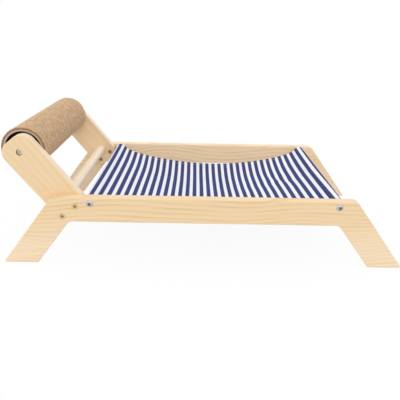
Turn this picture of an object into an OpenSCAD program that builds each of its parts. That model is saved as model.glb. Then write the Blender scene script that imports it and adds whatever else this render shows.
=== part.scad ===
// Cat hammock: two board side frames, a striped cloth sling on two rods, and a sisal scratching
// roller that turns between two arms at the head end.
// Frame: +X points to the foot end, +Z is up, z = 0 is the floor and y = 0 is mid-width.
// Left is -Y and right is +Y, as seen from the foot end.

/* [Side frames] */
// Length of the bed along the floor, toe to toe
bed_length = 600; // [520:5:760]
// Height of the side frames
frame_h = 105; // [95:1:150]
// Thickness of the side boards
board_t = 15; // [12:1:20]
// Depth of the rail between the legs
rail_depth = 37.5; // [34:0.5:50]
// Width of each foot along the floor
foot_w = 51.5; // [40:0.5:65]
// Lean of each leg from upright, in degrees
leg_lean = 37; // [25:1:42]
// Radius of the rail's top corners
top_round = 12; // [4:1:18]
// Radius of the fillet where leg and rail meet
knee_fillet = 10; // [4:1:20]
// Radius of the corners at the floor
toe_round = 2; // [1:0.5:5]
// Clear width between the two side frames
inner_w = 304; // [240:2:400]

/* [Head arms] */
// Thickness of the arms
arm_t = 15; // [12:1:20]
// Width of the arms
arm_w = 50; // [46:1:60]
// Radius of the arms' rounded corners
arm_round = 18; // [8:1:20]
// Angle of the arms above the floor, in degrees
arm_angle = 51; // [40:1:65]
// From the arm's screws up to the roller's axis
arm_reach = 106.5; // [95:0.5:140]
// From the roller's axis to the arm's top end
arm_tip = 21; // [16:0.5:30]
// From the arm's screws to its lower end
arm_tail = 11.5; // [9:0.5:16]
// Distance of the arm's screws from the rail's top corner, along the bed
arm_root_in = 24; // [20:0.5:40]
// Distance of the arm's screws below the rail's top edge
arm_root_drop = 21.5; // [18:0.5:28]
// Spacing of the two screws across the arm
arm_screw_gap = 25; // [20:0.5:30]

/* [Stretcher] */
// Diameter of the dowel between the arms
stretcher_d = 16; // [10:0.5:20]
// From the arm's screws up the arm to the dowel
stretcher_up = 15; // [14:0.5:30]
// From the arm's centre line across to the dowel
stretcher_fore = 2; // [0:0.5:8]
// Depth of the blind sockets in the arms
socket_depth = 8; // [4:0.5:10]

/* [Roller] */
// Outside diameter of the roller with its wrap
roller_d = 65; // [56:1:90]
// Thickness of the woven sisal
sisal_t = 2.5; // [1.5:0.5:4]
// Wall of the core tube
tube_wall = 4; // [2:0.5:5]
// Gap between the roller's end and the arm
roller_side_gap = 2; // [1:0.5:5]
// Thickness of the discs that carry the tube
disc_t = 12; // [8:1:20]
// How far the discs sit inside the tube's ends
disc_inset = 16; // [5:1:30]
// Diameter of the axle dowel
axle_d = 18; // [15:0.5:24]

/* [Sling] */
// Diameter of the two sling rods
rod_d = 16; // [15:0.5:22]
// Depth of the rods' axes below the rail's top edge
rod_drop = 9; // [8:0.5:14]
// Distance of the foot rod from the rail's top corner
foot_rod_in = 25.5; // [22:0.5:60]
// Gap between the cloth's sleeve and the arms' lower ends
sleeve_arm_gap = 2.4; // [0.8:0.1:6]
// Thickness of the cloth
cloth_t = 1; // [0.8:0.1:2]
// Gap between the cloth's edges and the side frames
sling_side_gap = 2.5; // [1:0.5:10]
// Depth of the cloth's lowest line below the rods' axes
sag_depth = 32; // [15:1:50]
// Distance of the cloth's lowest line from mid-length, towards the foot
sag_fore = 20; // [-30:1:30]
// Extra sag of the cloth's middle below its hemmed edges
cloth_dish = 5; // [0:0.5:10]
// Angle round the rod, above level, where the cloth leaves it, in degrees
sleeve_leave = 30; // [15:1:40]
// Length over which the cloth bends away from the rod
sleeve_lead = 19; // [14:0.5:26]
// Length of the flat stretch each side of the lowest line
sag_flat = 80; // [50:1:110]
// Length of the hem sewn under the cloth beyond the sleeve
hem_tail = 13; // [8:0.5:20]

/* [Fasteners] */
// Thread diameter of all bolts and screws
bolt_d = 6; // [5:0.5:8]
// Diameter of the rod bolts' button heads
button_d = 10.5; // [10:0.5:14]
// Height of the rod bolts' button heads
button_h = 2.5; // [2.2:0.1:4]
// Diameter of the arm screws' flat heads
flat_head_d = 9.6; // [8.5:0.1:12]
// Height of the arm screws' cone below the head
flat_head_h = 2.4; // [1.5:0.1:4]
// Diameter of the axle bolts' sunk heads
cap_d = 9; // [8.5:0.1:12]
// Height of the axle bolts' sunk heads
cap_h = 4; // [3:0.1:5]
// How far the axle bolts' heads lie below the arm's face
cap_sink = 2.4; // [0:0.1:4]
// Width across flats of the hex sockets
hex_af = 4; // [3:0.5:4.5]
// Depth of the hex sockets
hex_depth = 1.8; // [1:0.1:2.2]
// Outside diameter of the threaded inserts
insert_d = 9; // [8.5:0.1:11]
// Length of the threaded inserts in rods and axle
insert_len = 16; // [10:1:25]
// Length of the threaded inserts in the arms
arm_insert_len = 11; // [8:0.5:11]
// Length of thread left free at the end of each insert
thread_spare = 2; // [0.5:0.5:4]

/* [Clearances] */
// Radial clearance of bolts in their holes
bolt_clear = 0.25; // [0.1:0.05:0.5]
// Radial clearance of the discs on the axle
axle_run = 0.08; // [0.02:0.01:0.1]
// Radial gap of glued and driven fits
glue_gap = 0.05; // [0.02:0.01:0.2]
// Radial gap between the sleeve and its rod, and between sewn layers
cloth_ease = 0.3; // [0.2:0.05:0.8]

/* [Hidden] */
$fn = 96;
overcut = 1;
segments_across = 8;
segments_arc = 14;
segments_sag = 16;
segments_hem = 3;

// Planes across the bed, on the +Y side
frame_in_y = inner_w / 2;
frame_out_y = frame_in_y + board_t;
arm_in_y = frame_in_y - arm_t;
tube_end_y = arm_in_y - roller_side_gap;
cloth_edge_y = frame_in_y - sling_side_gap;

// Rail and legs
lean_run = tan(leg_lean);
top_half = bed_length / 2 - frame_h * lean_run;
rail_z = frame_h - rail_depth;
knee_x = bed_length / 2 - foot_w - rail_z * lean_run;

// Arms: root is the middle of the two screws, up runs along the arm and fore across it
arm_root = [-top_half + arm_root_in, frame_h - arm_root_drop];
arm_up = [-cos(arm_angle), sin(arm_angle)];
arm_fore = [sin(arm_angle), cos(arm_angle)];
function on_arm(up, fore) = arm_root + up * arm_up + fore * arm_fore;
arm_screws = [for (side = [-1, 1]) on_arm(0, side * arm_screw_gap / 2)];
roller_at = on_arm(arm_reach, 0);
stretcher_at = on_arm(stretcher_up, stretcher_fore);
arm_end_centre = on_arm(arm_round - arm_tail, arm_w / 2 - arm_round);

// Rods: the head rod lies just clear of the arms' rounded lower ends
sleeve_r = rod_d / 2 + cloth_ease + cloth_t;
rod_z = frame_h - rod_drop;
head_rod_span = arm_round + sleeve_r + sleeve_arm_gap;
head_rod_rise = rod_z - arm_end_centre.y;
head_rod_at = [arm_end_centre.x + sqrt(head_rod_span ^ 2 - head_rod_rise ^ 2), rod_z];
foot_rod_at = [top_half - foot_rod_in, rod_z];

// Roller
core_d = roller_d - 2 * sisal_t - 2 * glue_gap;
core_bore_d = core_d - 2 * tube_wall;
disc_out_y = tube_end_y - disc_inset;

// Fasteners
hole_d = bolt_d + 2 * bolt_clear;
insert_bore_d = bolt_d + 2 * glue_gap;
insert_hole_d = insert_d + 2 * glue_gap;
countersink_d = flat_head_d + 2 * glue_gap;
cap_pocket_d = cap_d + 2 * bolt_clear;
cap_pocket_depth = cap_h + cap_sink;
hex_d = hex_af / cos(30);

// Rounded outlines: each corner is [x, y, radius], listed anticlockwise
function xy(c) = [c.x, c.y];
function unit(v) = v / norm(v);
function turn(a, b) = a.x * b.y - a.y * b.x;
function back_dir(c, i) = unit(xy(c[(i + len(c) - 1) % len(c)]) - xy(c[i]));
function next_dir(c, i) = unit(xy(c[(i + 1) % len(c)]) - xy(c[i]));
function half_angle(c, i) = acos(back_dir(c, i) * next_dir(c, i)) / 2;
function tangent(c, i) = c[i][2] / tan(half_angle(c, i));
function is_convex(c, i) = turn(next_dir(c, i), back_dir(c, i)) > 0;
function round_centre(c, i) =
    xy(c[i]) + unit(back_dir(c, i) + next_dir(c, i)) * c[i][2] / sin(half_angle(c, i));

module round_corners(c, convex) {
    for (i = [0 : len(c) - 1])
        if (is_convex(c, i) == convex)
            translate(round_centre(c, i)) circle(r = c[i][2]);
}

module rounded_outline(c) {
    difference() {
        union() {
            polygon([
                for (i = [0 : len(c) - 1], dir = [back_dir(c, i), next_dir(c, i)])
                    xy(c[i]) + dir * tangent(c, i)
            ]);
            round_corners(c, true);
        }
        round_corners(c, false);
    }
}

// A board in the XZ plane from y0 to y1
module board(y0, y1) {
    translate([0, y1, 0]) rotate([90, 0, 0]) linear_extrude(y1 - y0) children();
}

// Round bar or hole along Y, centred on a point of the XZ plane
module bar(at, d, y0, y1) {
    translate([at.x, y1, at.y]) rotate([90, 0, 0]) cylinder(d = d, h = y1 - y0);
}

// Places children, drawn along +Z with z = 0 on the plane y, to point out of the right side
module facing_right(at, y) {
    translate([at.x, y, at.y]) rotate([-90, 0, 0]) children();
}

module left_of() {
    mirror([0, 1, 0]) children();
}

module both_sides() {
    children();
    left_of() children();
}

module side_frame() {
    toe_x = bed_length / 2;
    outline = [
        [-toe_x, 0, toe_round],
        [foot_w - toe_x, 0, toe_round],
        [-knee_x, rail_z, knee_fillet],
        [knee_x, rail_z, knee_fillet],
        [toe_x - foot_w, 0, toe_round],
        [toe_x, 0, toe_round],
        [top_half, frame_h, top_round],
        [-top_half, frame_h, top_round]
    ];
    color("burlywood") difference() {
        board(frame_in_y, frame_out_y) rounded_outline(outline);
        for (at = concat([head_rod_at, foot_rod_at], arm_screws))
            bar(at, hole_d, frame_in_y - overcut, frame_out_y + overcut);
        for (at = arm_screws)
            facing_right(at, frame_out_y - flat_head_h)
                cylinder(d1 = hole_d, d2 = countersink_d, h = flat_head_h);
    }
}

module head_arm() {
    tip = arm_reach + arm_tip;
    outline = [
        for (end = [[-arm_tail, -1], [-arm_tail, 1], [tip, 1], [tip, -1]])
            concat(on_arm(end[0], end[1] * arm_w / 2), arm_round)
    ];
    color("burlywood") difference() {
        board(arm_in_y, frame_in_y) rounded_outline(outline);
        for (at = concat([roller_at], arm_screws))
            bar(at, hole_d, arm_in_y - overcut, frame_in_y + overcut);
        for (at = arm_screws)
            bar(at, insert_hole_d, arm_in_y - overcut, arm_in_y + arm_insert_len);
        bar(roller_at, cap_pocket_d, frame_in_y - cap_pocket_depth, frame_in_y + overcut);
        bar(stretcher_at, stretcher_d + 2 * glue_gap, arm_in_y - overcut, arm_in_y + socket_depth);
    }
}

module dowel(at, d, half, bored) {
    color("wheat") difference() {
        bar(at, d, -half, half);
        if (bored)
            both_sides() bar(at, insert_hole_d, half - insert_len, half + overcut);
    }
}

module arm_stretcher() {
    dowel(stretcher_at, stretcher_d, arm_in_y + socket_depth, false);
}

module head_sling_rod() {
    dowel(head_rod_at, rod_d, frame_in_y, true);
}

module foot_sling_rod() {
    dowel(foot_rod_at, rod_d, frame_in_y, true);
}

module roller_axle() {
    dowel(roller_at, axle_d, arm_in_y, true);
}

module sleeve_round_roller(outer_d, inner_d) {
    difference() {
        bar(roller_at, outer_d, -tube_end_y, tube_end_y);
        bar(roller_at, inner_d, -tube_end_y - overcut, tube_end_y + overcut);
    }
}

module roller_core_tube() {
    color("tan") sleeve_round_roller(core_d, core_bore_d);
}

module sisal_wrap() {
    color("peru") sleeve_round_roller(roller_d, roller_d - 2 * sisal_t);
}

module roller_right_disc() {
    color("#2b2622") difference() {
        bar(roller_at, core_bore_d - 2 * glue_gap, disc_out_y - disc_t, disc_out_y);
        bar(roller_at, axle_d + 2 * axle_run, disc_out_y - disc_t - overcut, disc_out_y + overcut);
    }
}

module hex_socket(face_z) {
    translate([0, 0, face_z - hex_depth]) cylinder(d = hex_d, h = hex_depth + overcut, $fn = 6);
}

// Bolt with its head's seat at z = 0 and its shank running to -Z
module button_bolt(shank) {
    dome_r = (button_d ^ 2 / 4 + button_h ^ 2) / (2 * button_h);
    color("silver") difference() {
        union() {
            rotate_extrude() intersection() {
                translate([0, button_h - dome_r]) circle(r = dome_r);
                square([button_d / 2, button_h]);
            }
            translate([0, 0, -shank]) cylinder(d = bolt_d, h = shank);
        }
        hex_socket(button_h);
    }
}

// Screw with its flat head's face at z = 0 and its shank running to -Z
module flat_screw(shank) {
    color("peru") difference() {
        union() {
            translate([0, 0, -flat_head_h]) cylinder(d1 = bolt_d, d2 = flat_head_d, h = flat_head_h);
            translate([0, 0, -shank]) cylinder(d = bolt_d, h = shank - flat_head_h);
        }
        hex_socket(0);
    }
}

// Bolt with a straight head, its seat at z = 0
module cap_bolt(shank) {
    color("silver") difference() {
        union() {
            cylinder(d = cap_d, h = cap_h);
            translate([0, 0, -shank]) cylinder(d = bolt_d, h = shank);
        }
        hex_socket(cap_h);
    }
}

module rod_bolts(at) {
    shank = board_t + insert_len - thread_spare;
    both_sides() facing_right(at, frame_out_y) button_bolt(shank);
}

module axle_bolts() {
    seat_y = frame_in_y - cap_pocket_depth;
    shank = seat_y - arm_in_y + insert_len - thread_spare;
    both_sides() facing_right(roller_at, seat_y) cap_bolt(shank);
}

module right_arm_screws() {
    for (at = arm_screws)
        facing_right(at, frame_out_y) flat_screw(board_t + arm_t - thread_spare);
}

module insert(at, y, length) {
    color("goldenrod") difference() {
        bar(at, insert_d, y - length, y);
        bar(at, insert_bore_d, y - length - overcut, y + overcut);
    }
}

module right_arm_inserts() {
    for (at = arm_screws)
        insert(at, arm_in_y + arm_insert_len, arm_insert_len);
}

module end_inserts(at, y) {
    both_sides() insert(at, y, insert_len);
}

// Centre line of the cloth in the XZ plane: hem, sleeve, sag, sleeve, hem
sleeve_mid_r = sleeve_r - cloth_t / 2;
sag_low = [sag_fore, rod_z - sag_depth];
hem_offset = cloth_t + cloth_ease;
function bezier(p, t) =
    p[0] * (1 - t) ^ 3 + 3 * p[1] * t * (1 - t) ^ 2 + 3 * p[2] * t ^ 2 * (1 - t) + p[3] * t ^ 3;
function bezier_step(p, t) =
    3 * ((p[1] - p[0]) * (1 - t) ^ 2 + 2 * (p[2] - p[1]) * t * (1 - t) + (p[3] - p[2]) * t ^ 2);

// Half of the sag, from a rod to the lowest line; inward is +1 from the head and -1 from the foot
function half_sag(rod, inward) =
    let (start = rod + sleeve_mid_r * [inward * cos(sleeve_leave), sin(sleeve_leave)],
         leave = [inward * sin(sleeve_leave), -cos(sleeve_leave)])
    [start, start + leave * sleeve_lead, sag_low - [inward * sag_flat, 0], sag_low];

// Share of a half sag at which the cloth has dropped to the level of the sleeve's underside
function seam_share(p, level, low = 0, high = 1, steps = 20) =
    let (mid = (low + high) / 2)
    steps == 0 ? mid
    : bezier(p, mid).y > level ? seam_share(p, level, mid, high, steps - 1)
    : seam_share(p, level, low, mid, steps - 1);

// Points of one end: the hem's tip first, then the seam, then round the rod
function sleeve_points(rod, inward) =
    let (p = half_sag(rod, inward),
         seam = seam_share(p, rod_z - sleeve_mid_r + hem_offset),
         tip = seam + hem_tail / norm(bezier_step(p, seam)))
    concat(
        [for (i = [0 : segments_hem])
            let (t = tip + (seam - tip) * i / segments_hem, dir = unit(bezier_step(p, t)))
            bezier(p, t) - hem_offset * inward * [-dir.y, dir.x]],
        [for (i = [0 : segments_arc])
            let (angle = -90 - (270 - sleeve_leave) * i / segments_arc)
            rod + sleeve_mid_r * [inward * cos(angle), sin(angle)]]
    );

function sag_points(rod, inward) =
    let (p = half_sag(rod, inward))
    [for (i = [1 : segments_sag]) bezier(p, i / segments_sag)];

function reversed(list) = [for (i = [len(list) - 1 : -1 : 0]) list[i]];

cloth_line = concat(
    sleeve_points(head_rod_at, 1),
    sag_points(head_rod_at, 1),
    reversed([for (i = [0 : segments_sag - 2]) sag_points(foot_rod_at, -1)[i]]),
    reversed(sleeve_points(foot_rod_at, -1))
);

function line_dir(i) =
    unit(cloth_line[min(i + 1, len(cloth_line) - 1)] - cloth_line[max(i - 1, 0)]);

// Extra drop of the cloth between its sleeves and between its hemmed edges
dish_from = head_rod_at.x + sleeve_r;
dish_to = foot_rod_at.x - sleeve_r;
function dish_drop(x, across) =
    let (along = (2 * x - dish_from - dish_to) / (dish_to - dish_from))
    cloth_dish * (1 - across ^ 2) * max(0, 1 - along ^ 4);

function cloth_point(i, j, face) =
    let (at = cloth_line[i],
         dir = line_dir(i),
         across = 2 * j / segments_across - 1,
         off = at + face * cloth_t / 2 * [-dir.y, dir.x])
    [off.x, across * cloth_edge_y, off.y - dish_drop(at.x, across)];

module sling_fabric() {
    rows = len(cloth_line);
    columns = segments_across + 1;
    points = [
        for (face = [1, -1], i = [0 : rows - 1], j = [0 : columns - 1]) cloth_point(i, j, face)
    ];
    function at(face, i, j) = face * rows * columns + i * columns + j;
    function split(a, b, c, d) = [[a, b, c], [a, c, d]];
    faces = [
        for (i = [0 : rows - 2], j = [0 : columns - 2])
            each concat(
                split(at(0, i, j), at(0, i, j + 1), at(0, i + 1, j + 1), at(0, i + 1, j)),
                split(at(1, i, j), at(1, i + 1, j), at(1, i + 1, j + 1), at(1, i, j + 1))
            ),
        for (i = [0 : rows - 2])
            each concat(
                split(at(0, i, 0), at(0, i + 1, 0), at(1, i + 1, 0), at(1, i, 0)),
                split(at(0, i, columns - 1), at(1, i, columns - 1),
                      at(1, i + 1, columns - 1), at(0, i + 1, columns - 1))
            ),
        for (j = [0 : columns - 2])
            each concat(
                split(at(0, 0, j), at(1, 0, j), at(1, 0, j + 1), at(0, 0, j + 1)),
                split(at(0, rows - 1, j), at(0, rows - 1, j + 1),
                      at(1, rows - 1, j + 1), at(1, rows - 1, j))
            )
    ];
    color("lavender") polyhedron(points, faces);
}

left_of() side_frame();  // left_side_frame
side_frame();  // right_side_frame
left_of() head_arm();  // left_head_arm
head_arm();  // right_head_arm
arm_stretcher();
head_sling_rod();
foot_sling_rod();
sling_fabric();
roller_axle();
roller_core_tube();
left_of() roller_right_disc();  // roller_left_disc
roller_right_disc();
sisal_wrap();
rod_bolts(head_rod_at);  // head_rod_bolts
rod_bolts(foot_rod_at);  // foot_rod_bolts
left_of() right_arm_screws();  // left_arm_screws
right_arm_screws();
axle_bolts();
end_inserts(head_rod_at, frame_in_y);  // head_rod_inserts
end_inserts(foot_rod_at, frame_in_y);  // foot_rod_inserts
end_inserts(roller_at, arm_in_y);  // axle_inserts
left_of() right_arm_inserts();  // left_arm_inserts
right_arm_inserts();
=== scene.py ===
import math

import bmesh
import bpy
import numpy as np
from bpy.props import FloatProperty, FloatVectorProperty, IntProperty, PointerProperty
from mathutils import Matrix, Vector


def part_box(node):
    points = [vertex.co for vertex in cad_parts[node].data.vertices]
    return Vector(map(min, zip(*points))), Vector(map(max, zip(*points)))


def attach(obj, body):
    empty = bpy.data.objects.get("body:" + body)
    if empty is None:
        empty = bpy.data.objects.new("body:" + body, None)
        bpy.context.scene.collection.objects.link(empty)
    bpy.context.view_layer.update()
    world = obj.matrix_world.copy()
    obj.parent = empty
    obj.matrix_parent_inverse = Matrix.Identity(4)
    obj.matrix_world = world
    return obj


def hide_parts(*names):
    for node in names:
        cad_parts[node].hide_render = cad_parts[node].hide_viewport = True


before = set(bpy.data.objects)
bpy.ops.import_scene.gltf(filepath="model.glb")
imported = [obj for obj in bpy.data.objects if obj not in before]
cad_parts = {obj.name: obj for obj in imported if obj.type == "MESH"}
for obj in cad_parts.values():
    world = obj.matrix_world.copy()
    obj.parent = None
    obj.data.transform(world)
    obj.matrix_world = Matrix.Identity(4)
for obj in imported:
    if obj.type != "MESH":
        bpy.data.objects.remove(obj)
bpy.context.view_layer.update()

bl_info = {
    "name": "Cat Hammock",
    "version": (1, 0, 0),
    "blender": (4, 5, 0),
    "location": "3D View > Sidebar > Hammock",
    "description": "Dresses a wooden cat hammock with a striped sling and a sisal scratching roller",
    "category": "Add Mesh",
}

MM = 0.001
SIDES = {"left": -1, "right": 1}


# Sizes and colours

def linear(code):
    """Linear RGBA of an sRGB hex code."""
    levels = [int(code[i:i + 2], 16) / 255 for i in (1, 3, 5)]
    return (*(v / 12.92 if v <= 0.04045 else ((v + 0.055) / 1.055) ** 2.4 for v in levels), 1.0)


def length(name, description, millimetres):
    """A length that the user may change."""
    return FloatProperty(name=name, description=description, default=millimetres * MM,
                         precision=4, unit="LENGTH")


def angle(name, description, degrees):
    """An angle that the user may change."""
    return FloatProperty(name=name, description=description, default=math.radians(degrees), subtype="ANGLE")


def factor(name, description, part):
    """A share of a whole that the user may change."""
    return FloatProperty(name=name, description=description, default=part, min=0, max=1, subtype="FACTOR")


def count(name, description, whole):
    """A whole number that the user may change."""
    return IntProperty(name=name, description=description, default=whole)


def watts(name, description, power):
    """A lamp's power that the user may change."""
    return FloatProperty(name=name, description=description, default=power, unit="POWER")


def spot(name, description, metres):
    """A place in the scene that the user may change."""
    return FloatVectorProperty(name=name, description=description, default=metres,
                               subtype="TRANSLATION", unit="LENGTH")


def colour(name, description, code):
    """A colour that the user may change."""
    return FloatVectorProperty(name=name, description=description, default=linear(code),
                               size=4, min=0, max=1, subtype="COLOR")


class HammockBoards(bpy.types.PropertyGroup):
    """Sizes of the sawn boards, and their places in the log."""

    bed_length: length("Bed length", "Along the floor, between the side frames' sharp toes", 600)
    rail_depth: length("Rail depth", "Depth of the rail between the legs", 37.5)
    foot_width: length("Foot width", "Width of each foot along the floor", 51.5)
    leg_lean: angle("Leg lean", "Lean of each leg from upright", 37)
    top_round: length("Top round", "Radius of the rail's top corners", 12)
    knee_fillet: length("Knee fillet", "Radius where leg and rail meet", 10)
    toe_round: length("Toe round", "Radius of the corners at the floor", 2)
    arm_width: length("Arm width", "Width of the head arms", 50)
    arm_round: length("Arm round", "Radius of the head arms' corners", 18)
    arm_tip: length("Arm tip", "From the roller's axis to the arm's top end", 21)
    arm_tail: length("Arm tail", "From the arm's screws to its lower end", 11.5)
    edge_ease: length("Edge ease", "Radius of the sanded edges", 1.2)
    screw_gap: length("Screw gap", "Spacing of an arm's two screws", 25)
    growth_ring: length("Growth ring", "Spacing of the pine's rings", 6.5)
    left_log: length("Left log", "Where along the log the left side frame was sawn", -310)
    right_log: length("Right log", "Where along the log the right side frame was sawn", 1050)
    arm_log: length("Arm log", "Where along the log the arms were sawn, one each way", 200)
    side_heart: length("Side heart", "From the log's heart across to a side frame's inner face", 20)
    under_heart: length("Under heart", "From the log's heart up to the side frames' feet", 120)
    arm_heart: length("Arm heart", "From the log's heart across to an arm's inner face", 90)


class HammockBolts(bpy.types.PropertyGroup):
    """Sizes of the bolts, screws and inserts, and of their holes."""

    thread: length("Thread", "Diameter of all bolts and screws", 6)
    button_width: length("Button width", "Diameter of the rod bolts' domed heads", 10.5)
    button_height: length("Button height", "Height of the rod bolts' domed heads", 2.5)
    flat_width: length("Flat width", "Diameter of the arm screws' flat heads", 9.6)
    flat_height: length("Flat height", "Height of the cone under the arm screws' heads", 2.4)
    cap_width: length("Cap width", "Diameter of the axle bolts' straight heads", 9)
    cap_height: length("Cap height", "Height of the axle bolts' straight heads", 4)
    cap_sink: length("Cap sink", "Depth of the axle bolts' heads below the arm's face", 2.4)
    hex_socket: length("Hex socket", "Width across flats of the hex sockets", 4)
    hex_depth: length("Hex depth", "Depth of the hex sockets", 1.8)
    edge: length("Edge", "Softened edge of heads and sockets", 0.2)
    insert_width: length("Insert width", "Diameter of the threaded inserts", 9)
    rod_insert: length("Rod insert", "Length of the inserts in the rods and the axle", 16)
    arm_insert: length("Arm insert", "Length of the inserts in the arms", 11)
    thread_spare: length("Thread spare", "Thread left free at the end of each insert", 2)
    # Painted shade: the three socket shares darken the hex sockets. The thread share darkens the shanks, for
    # oil and for the shade in their holes
    button_socket_shade: factor("Button oil", "Oil in the rod bolts' sockets", 0.6)
    flat_socket_shade: factor("Flat oil", "Oil in the arm screws' sockets", 0.5)
    cap_socket_shade: factor("Cap oil", "Oil in the axle bolts' sockets", 0.2)
    thread_oil_and_shade: factor("Thread oil", "Oil on the threads", 0.65)
    clear: length("Clear", "Gap round a bolt in its hole", 0.25)
    glue: length("Glue", "Gap round a glued or driven piece", 0.05)


class HammockCloth(bpy.types.PropertyGroup):
    """Sizes of the striped sling."""

    thickness: length("Thickness", "Thickness of the canvas", 1)
    ease: length("Ease", "Gap between the sleeve and its rod, and between sewn layers", 0.15)
    side_gap: length("Side gap", "Gap between the cloth's edges and the side frames", 2.5)
    sag_depth: length("Sag depth", "Depth of the lowest line below the rods' axes", 32)
    sag_fore: length("Sag fore", "Lowest line's distance from mid-length, to the foot", 20)
    sag_flat: length("Sag flat", "Flat stretch each side of the lowest line", 80)
    leave: angle("Leave angle", "Angle round the rod where the cloth leaves it", 30)
    lead: length("Lead", "Length over which the cloth bends away from the rod", 19)
    hem_tail: length("Hem tail", "Hem sewn under the cloth beyond each sleeve", 13)
    side_hem: length("Side hem", "Width of the hems along the side frames", 11)
    hem_stitch: factor("Hem stitch", "Place of a side hem's stitches, from its outer edge", 0.8)
    stripe_pitch: length("Stripe pitch", "From one blue stripe to the next", 12.46)
    stripe_width: length("Stripe width", "Width of a blue stripe", 6.8)
    first_stripe: length("First stripe", "From the head hem's end to a blue stripe's middle", 11.1)
    crowd: length("Crowd", "How far the stripes at the head rod are drawn to the foot", 5.6)
    crowd_run: length("Crowd run", "Length over which the drawn stripes even out", 78)
    skew: length("Skew", "How far the stripes' left ends are drawn to the foot rod", 6)
    skew_run: length("Skew run", "Length over which those left ends even out", 28)
    dip: length("Dip", "Depth of the hollow in the cloth, right of its middle", 6.2)
    dip_place: factor("Dip place", "Middle of the hollow, from mid-width to the right edge", 0.6)
    dip_width: factor("Dip width", "Half width of the hollow, as a share of half the cloth", 0.45)
    pull: length("Pull", "Rise of the cloth's right edge, drawn up by its hem", 5.2)
    lift: length("Lift", "Rise of the cloth's left half near the foot", 7.8)
    lift_least: factor("Least lift", "Share of that rise that is left near the head", 0.2)
    crease_x: length("Crease X", "Middle of the crease, from mid-length to the foot", 134)
    crease_y: length("Crease Y", "Middle of the crease, from mid-width to the right", 21)
    crease_turn: angle("Crease turn", "Turn of the crease from the bed's length to the left", 66.42)
    crease_run: length("Crease run", "Half length of the crease", 35)
    crease_width: length("Crease width", "From the crease's middle to its lowest line", 7)
    crease_depth: length("Crease depth", "Depth of the crease's lowest line", 1.3)
    slide: length("Slide", "How far the sag draws the cloth off its rods at mid-width", 1.6)
    stitch: length("Stitch", "Length of one stitch", 3.2)
    stitch_step: length("Stitch step", "From one stitch to the next", 4.2)
    seam_gap: length("Seam gap", "Between a sleeve's two rows of stitches", 3)
    yarn: length("Yarn", "Thickness of the sewing thread", 0.4)
    rows: count("Rows", "Faces along the cloth", 300)
    columns: count("Columns", "Faces across the cloth", 100)


class HammockRoller(bpy.types.PropertyGroup):
    """Sizes of the roller's tube and woven wrap."""

    tube_wall: length("Tube wall", "Thickness of the wound tube", 4)
    yarns_round: count("Yarns round", "Bumps of one row, round the roller", 40)
    yarn_rows: count("Yarn rows", "Rows of yarn along the roller", 78)
    relief: length("Relief", "Height of the yarn above the gaps", 0.9)
    least_bump: factor("Least bump", "Height of the lowest bump, as a share of the highest", 0.6)
    saddle: factor("Saddle", "Height between two bumps of a row, as a share of theirs", 0.6)
    # Painted shade on the wrap's cut ends
    cut_end_shade: factor("Cut end", "Tone of the wrap's cut ends, from the gaps' to the yarn's", 0.15)
    seed: count("Seed", "Choice of the uneven yarn", 4)


class HammockColours(bpy.types.PropertyGroup):
    """Colours of the finishes, and of the light and shade painted on some of them."""

    left_wood: colour("Left wood", "Wood between the rings of the left side frame", "#f0d4aa")
    # Painted light: the right side frame's tone is lighter than the left's, to make up for the less light
    # that reaches this far frame
    right_wood: colour("Right wood", "Wood between the rings of the right side frame", "#f9deb6")
    arm_wood: colour("Arm wood", "Wood between the rings of the head arms", "#eed2a9")
    late_wood: colour("Late wood", "Rings of the pine", "#deb983")
    sapwood: colour("Sapwood", "Paler pine in the legs", "#f8e0c0")
    # Painted highlight: a paler tone on all the arms' sawn edges, standing in for the light on their rounded
    # top edges
    edge_highlight: colour("Sanded edge", "Sawn and sanded edges of the head arms", "#f9e9d2")
    # Partly darker drilled end grain and partly painted shade: the dark tone stands in for the shadow in the
    # recesses round the bolt heads
    bore_grain_and_shade: colour("Scorched bore", "Walls of the drilled holes", "#64482c")
    birch: colour("Birch", "Dowels", "#fdebd2")
    birch_fibre: colour("Birch fibre", "Darker streaks of the dowels", "#f6e2c6")
    canvas_white: colour("Canvas white", "Undyed yarn of the sling", "#eff0f9")
    canvas_blue: colour("Canvas blue", "Dyed yarn of the sling", "#495186")
    canvas_deep: colour("Canvas deep", "Dyed yarn where it lies low", "#333b69")
    sisal: colour("Sisal", "Yarn of the roller's wrap", "#e5c298")
    # Painted shade: this darker tone is mixed in where the yarn lies low, in the gaps and on the cut ends
    sisal_gap_shade: colour("Sisal deep", "Gaps between the yarns", "#8a6747")
    kraft: colour("Kraft", "Cut ends of the roller's wound tube", "#c4ab98")
    # Painted shade: the near-black tone stands in for the shade inside the tube
    tube_bore_shade: colour("Kraft bore", "Raw inside of the roller's tube", "#241c17")
    # Painted shade: the discs are near black because the inside of the roller lies in shade
    plywood: colour("Plywood", "Discs inside the roller", "#2b2622")
    zinc: colour("Zinc", "Rod bolts", "#c6c0c4")
    # Dark tints: painted shade in the sockets, and oil with painted shade on the threads
    zinc_oil_and_shade: colour("Zinc oil", "Dark oil on the rod bolts", "#2a2233")
    # Painted reflection: the axle bolts' warm pale tint stands in for the wooden recess mirrored in their
    # heads
    zinc_with_wood_reflection: colour("Dull zinc", "Axle bolts", "#e8d8c6")
    bronze: colour("Bronze", "Arm screws", "#dcc496")
    bronze_oil_and_shade: colour("Bronze oil", "Brown oil on the arm screws and axle bolts", "#3a2818")
    insert: colour("Insert", "Threaded inserts", "#c2a67c")
    floor: colour("Floor", "Studio floor as it is seen", "#fafafa")
    floor_bounce: colour("Floor bounce", "Studio floor as it lights the bed", "#dadada")


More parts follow.
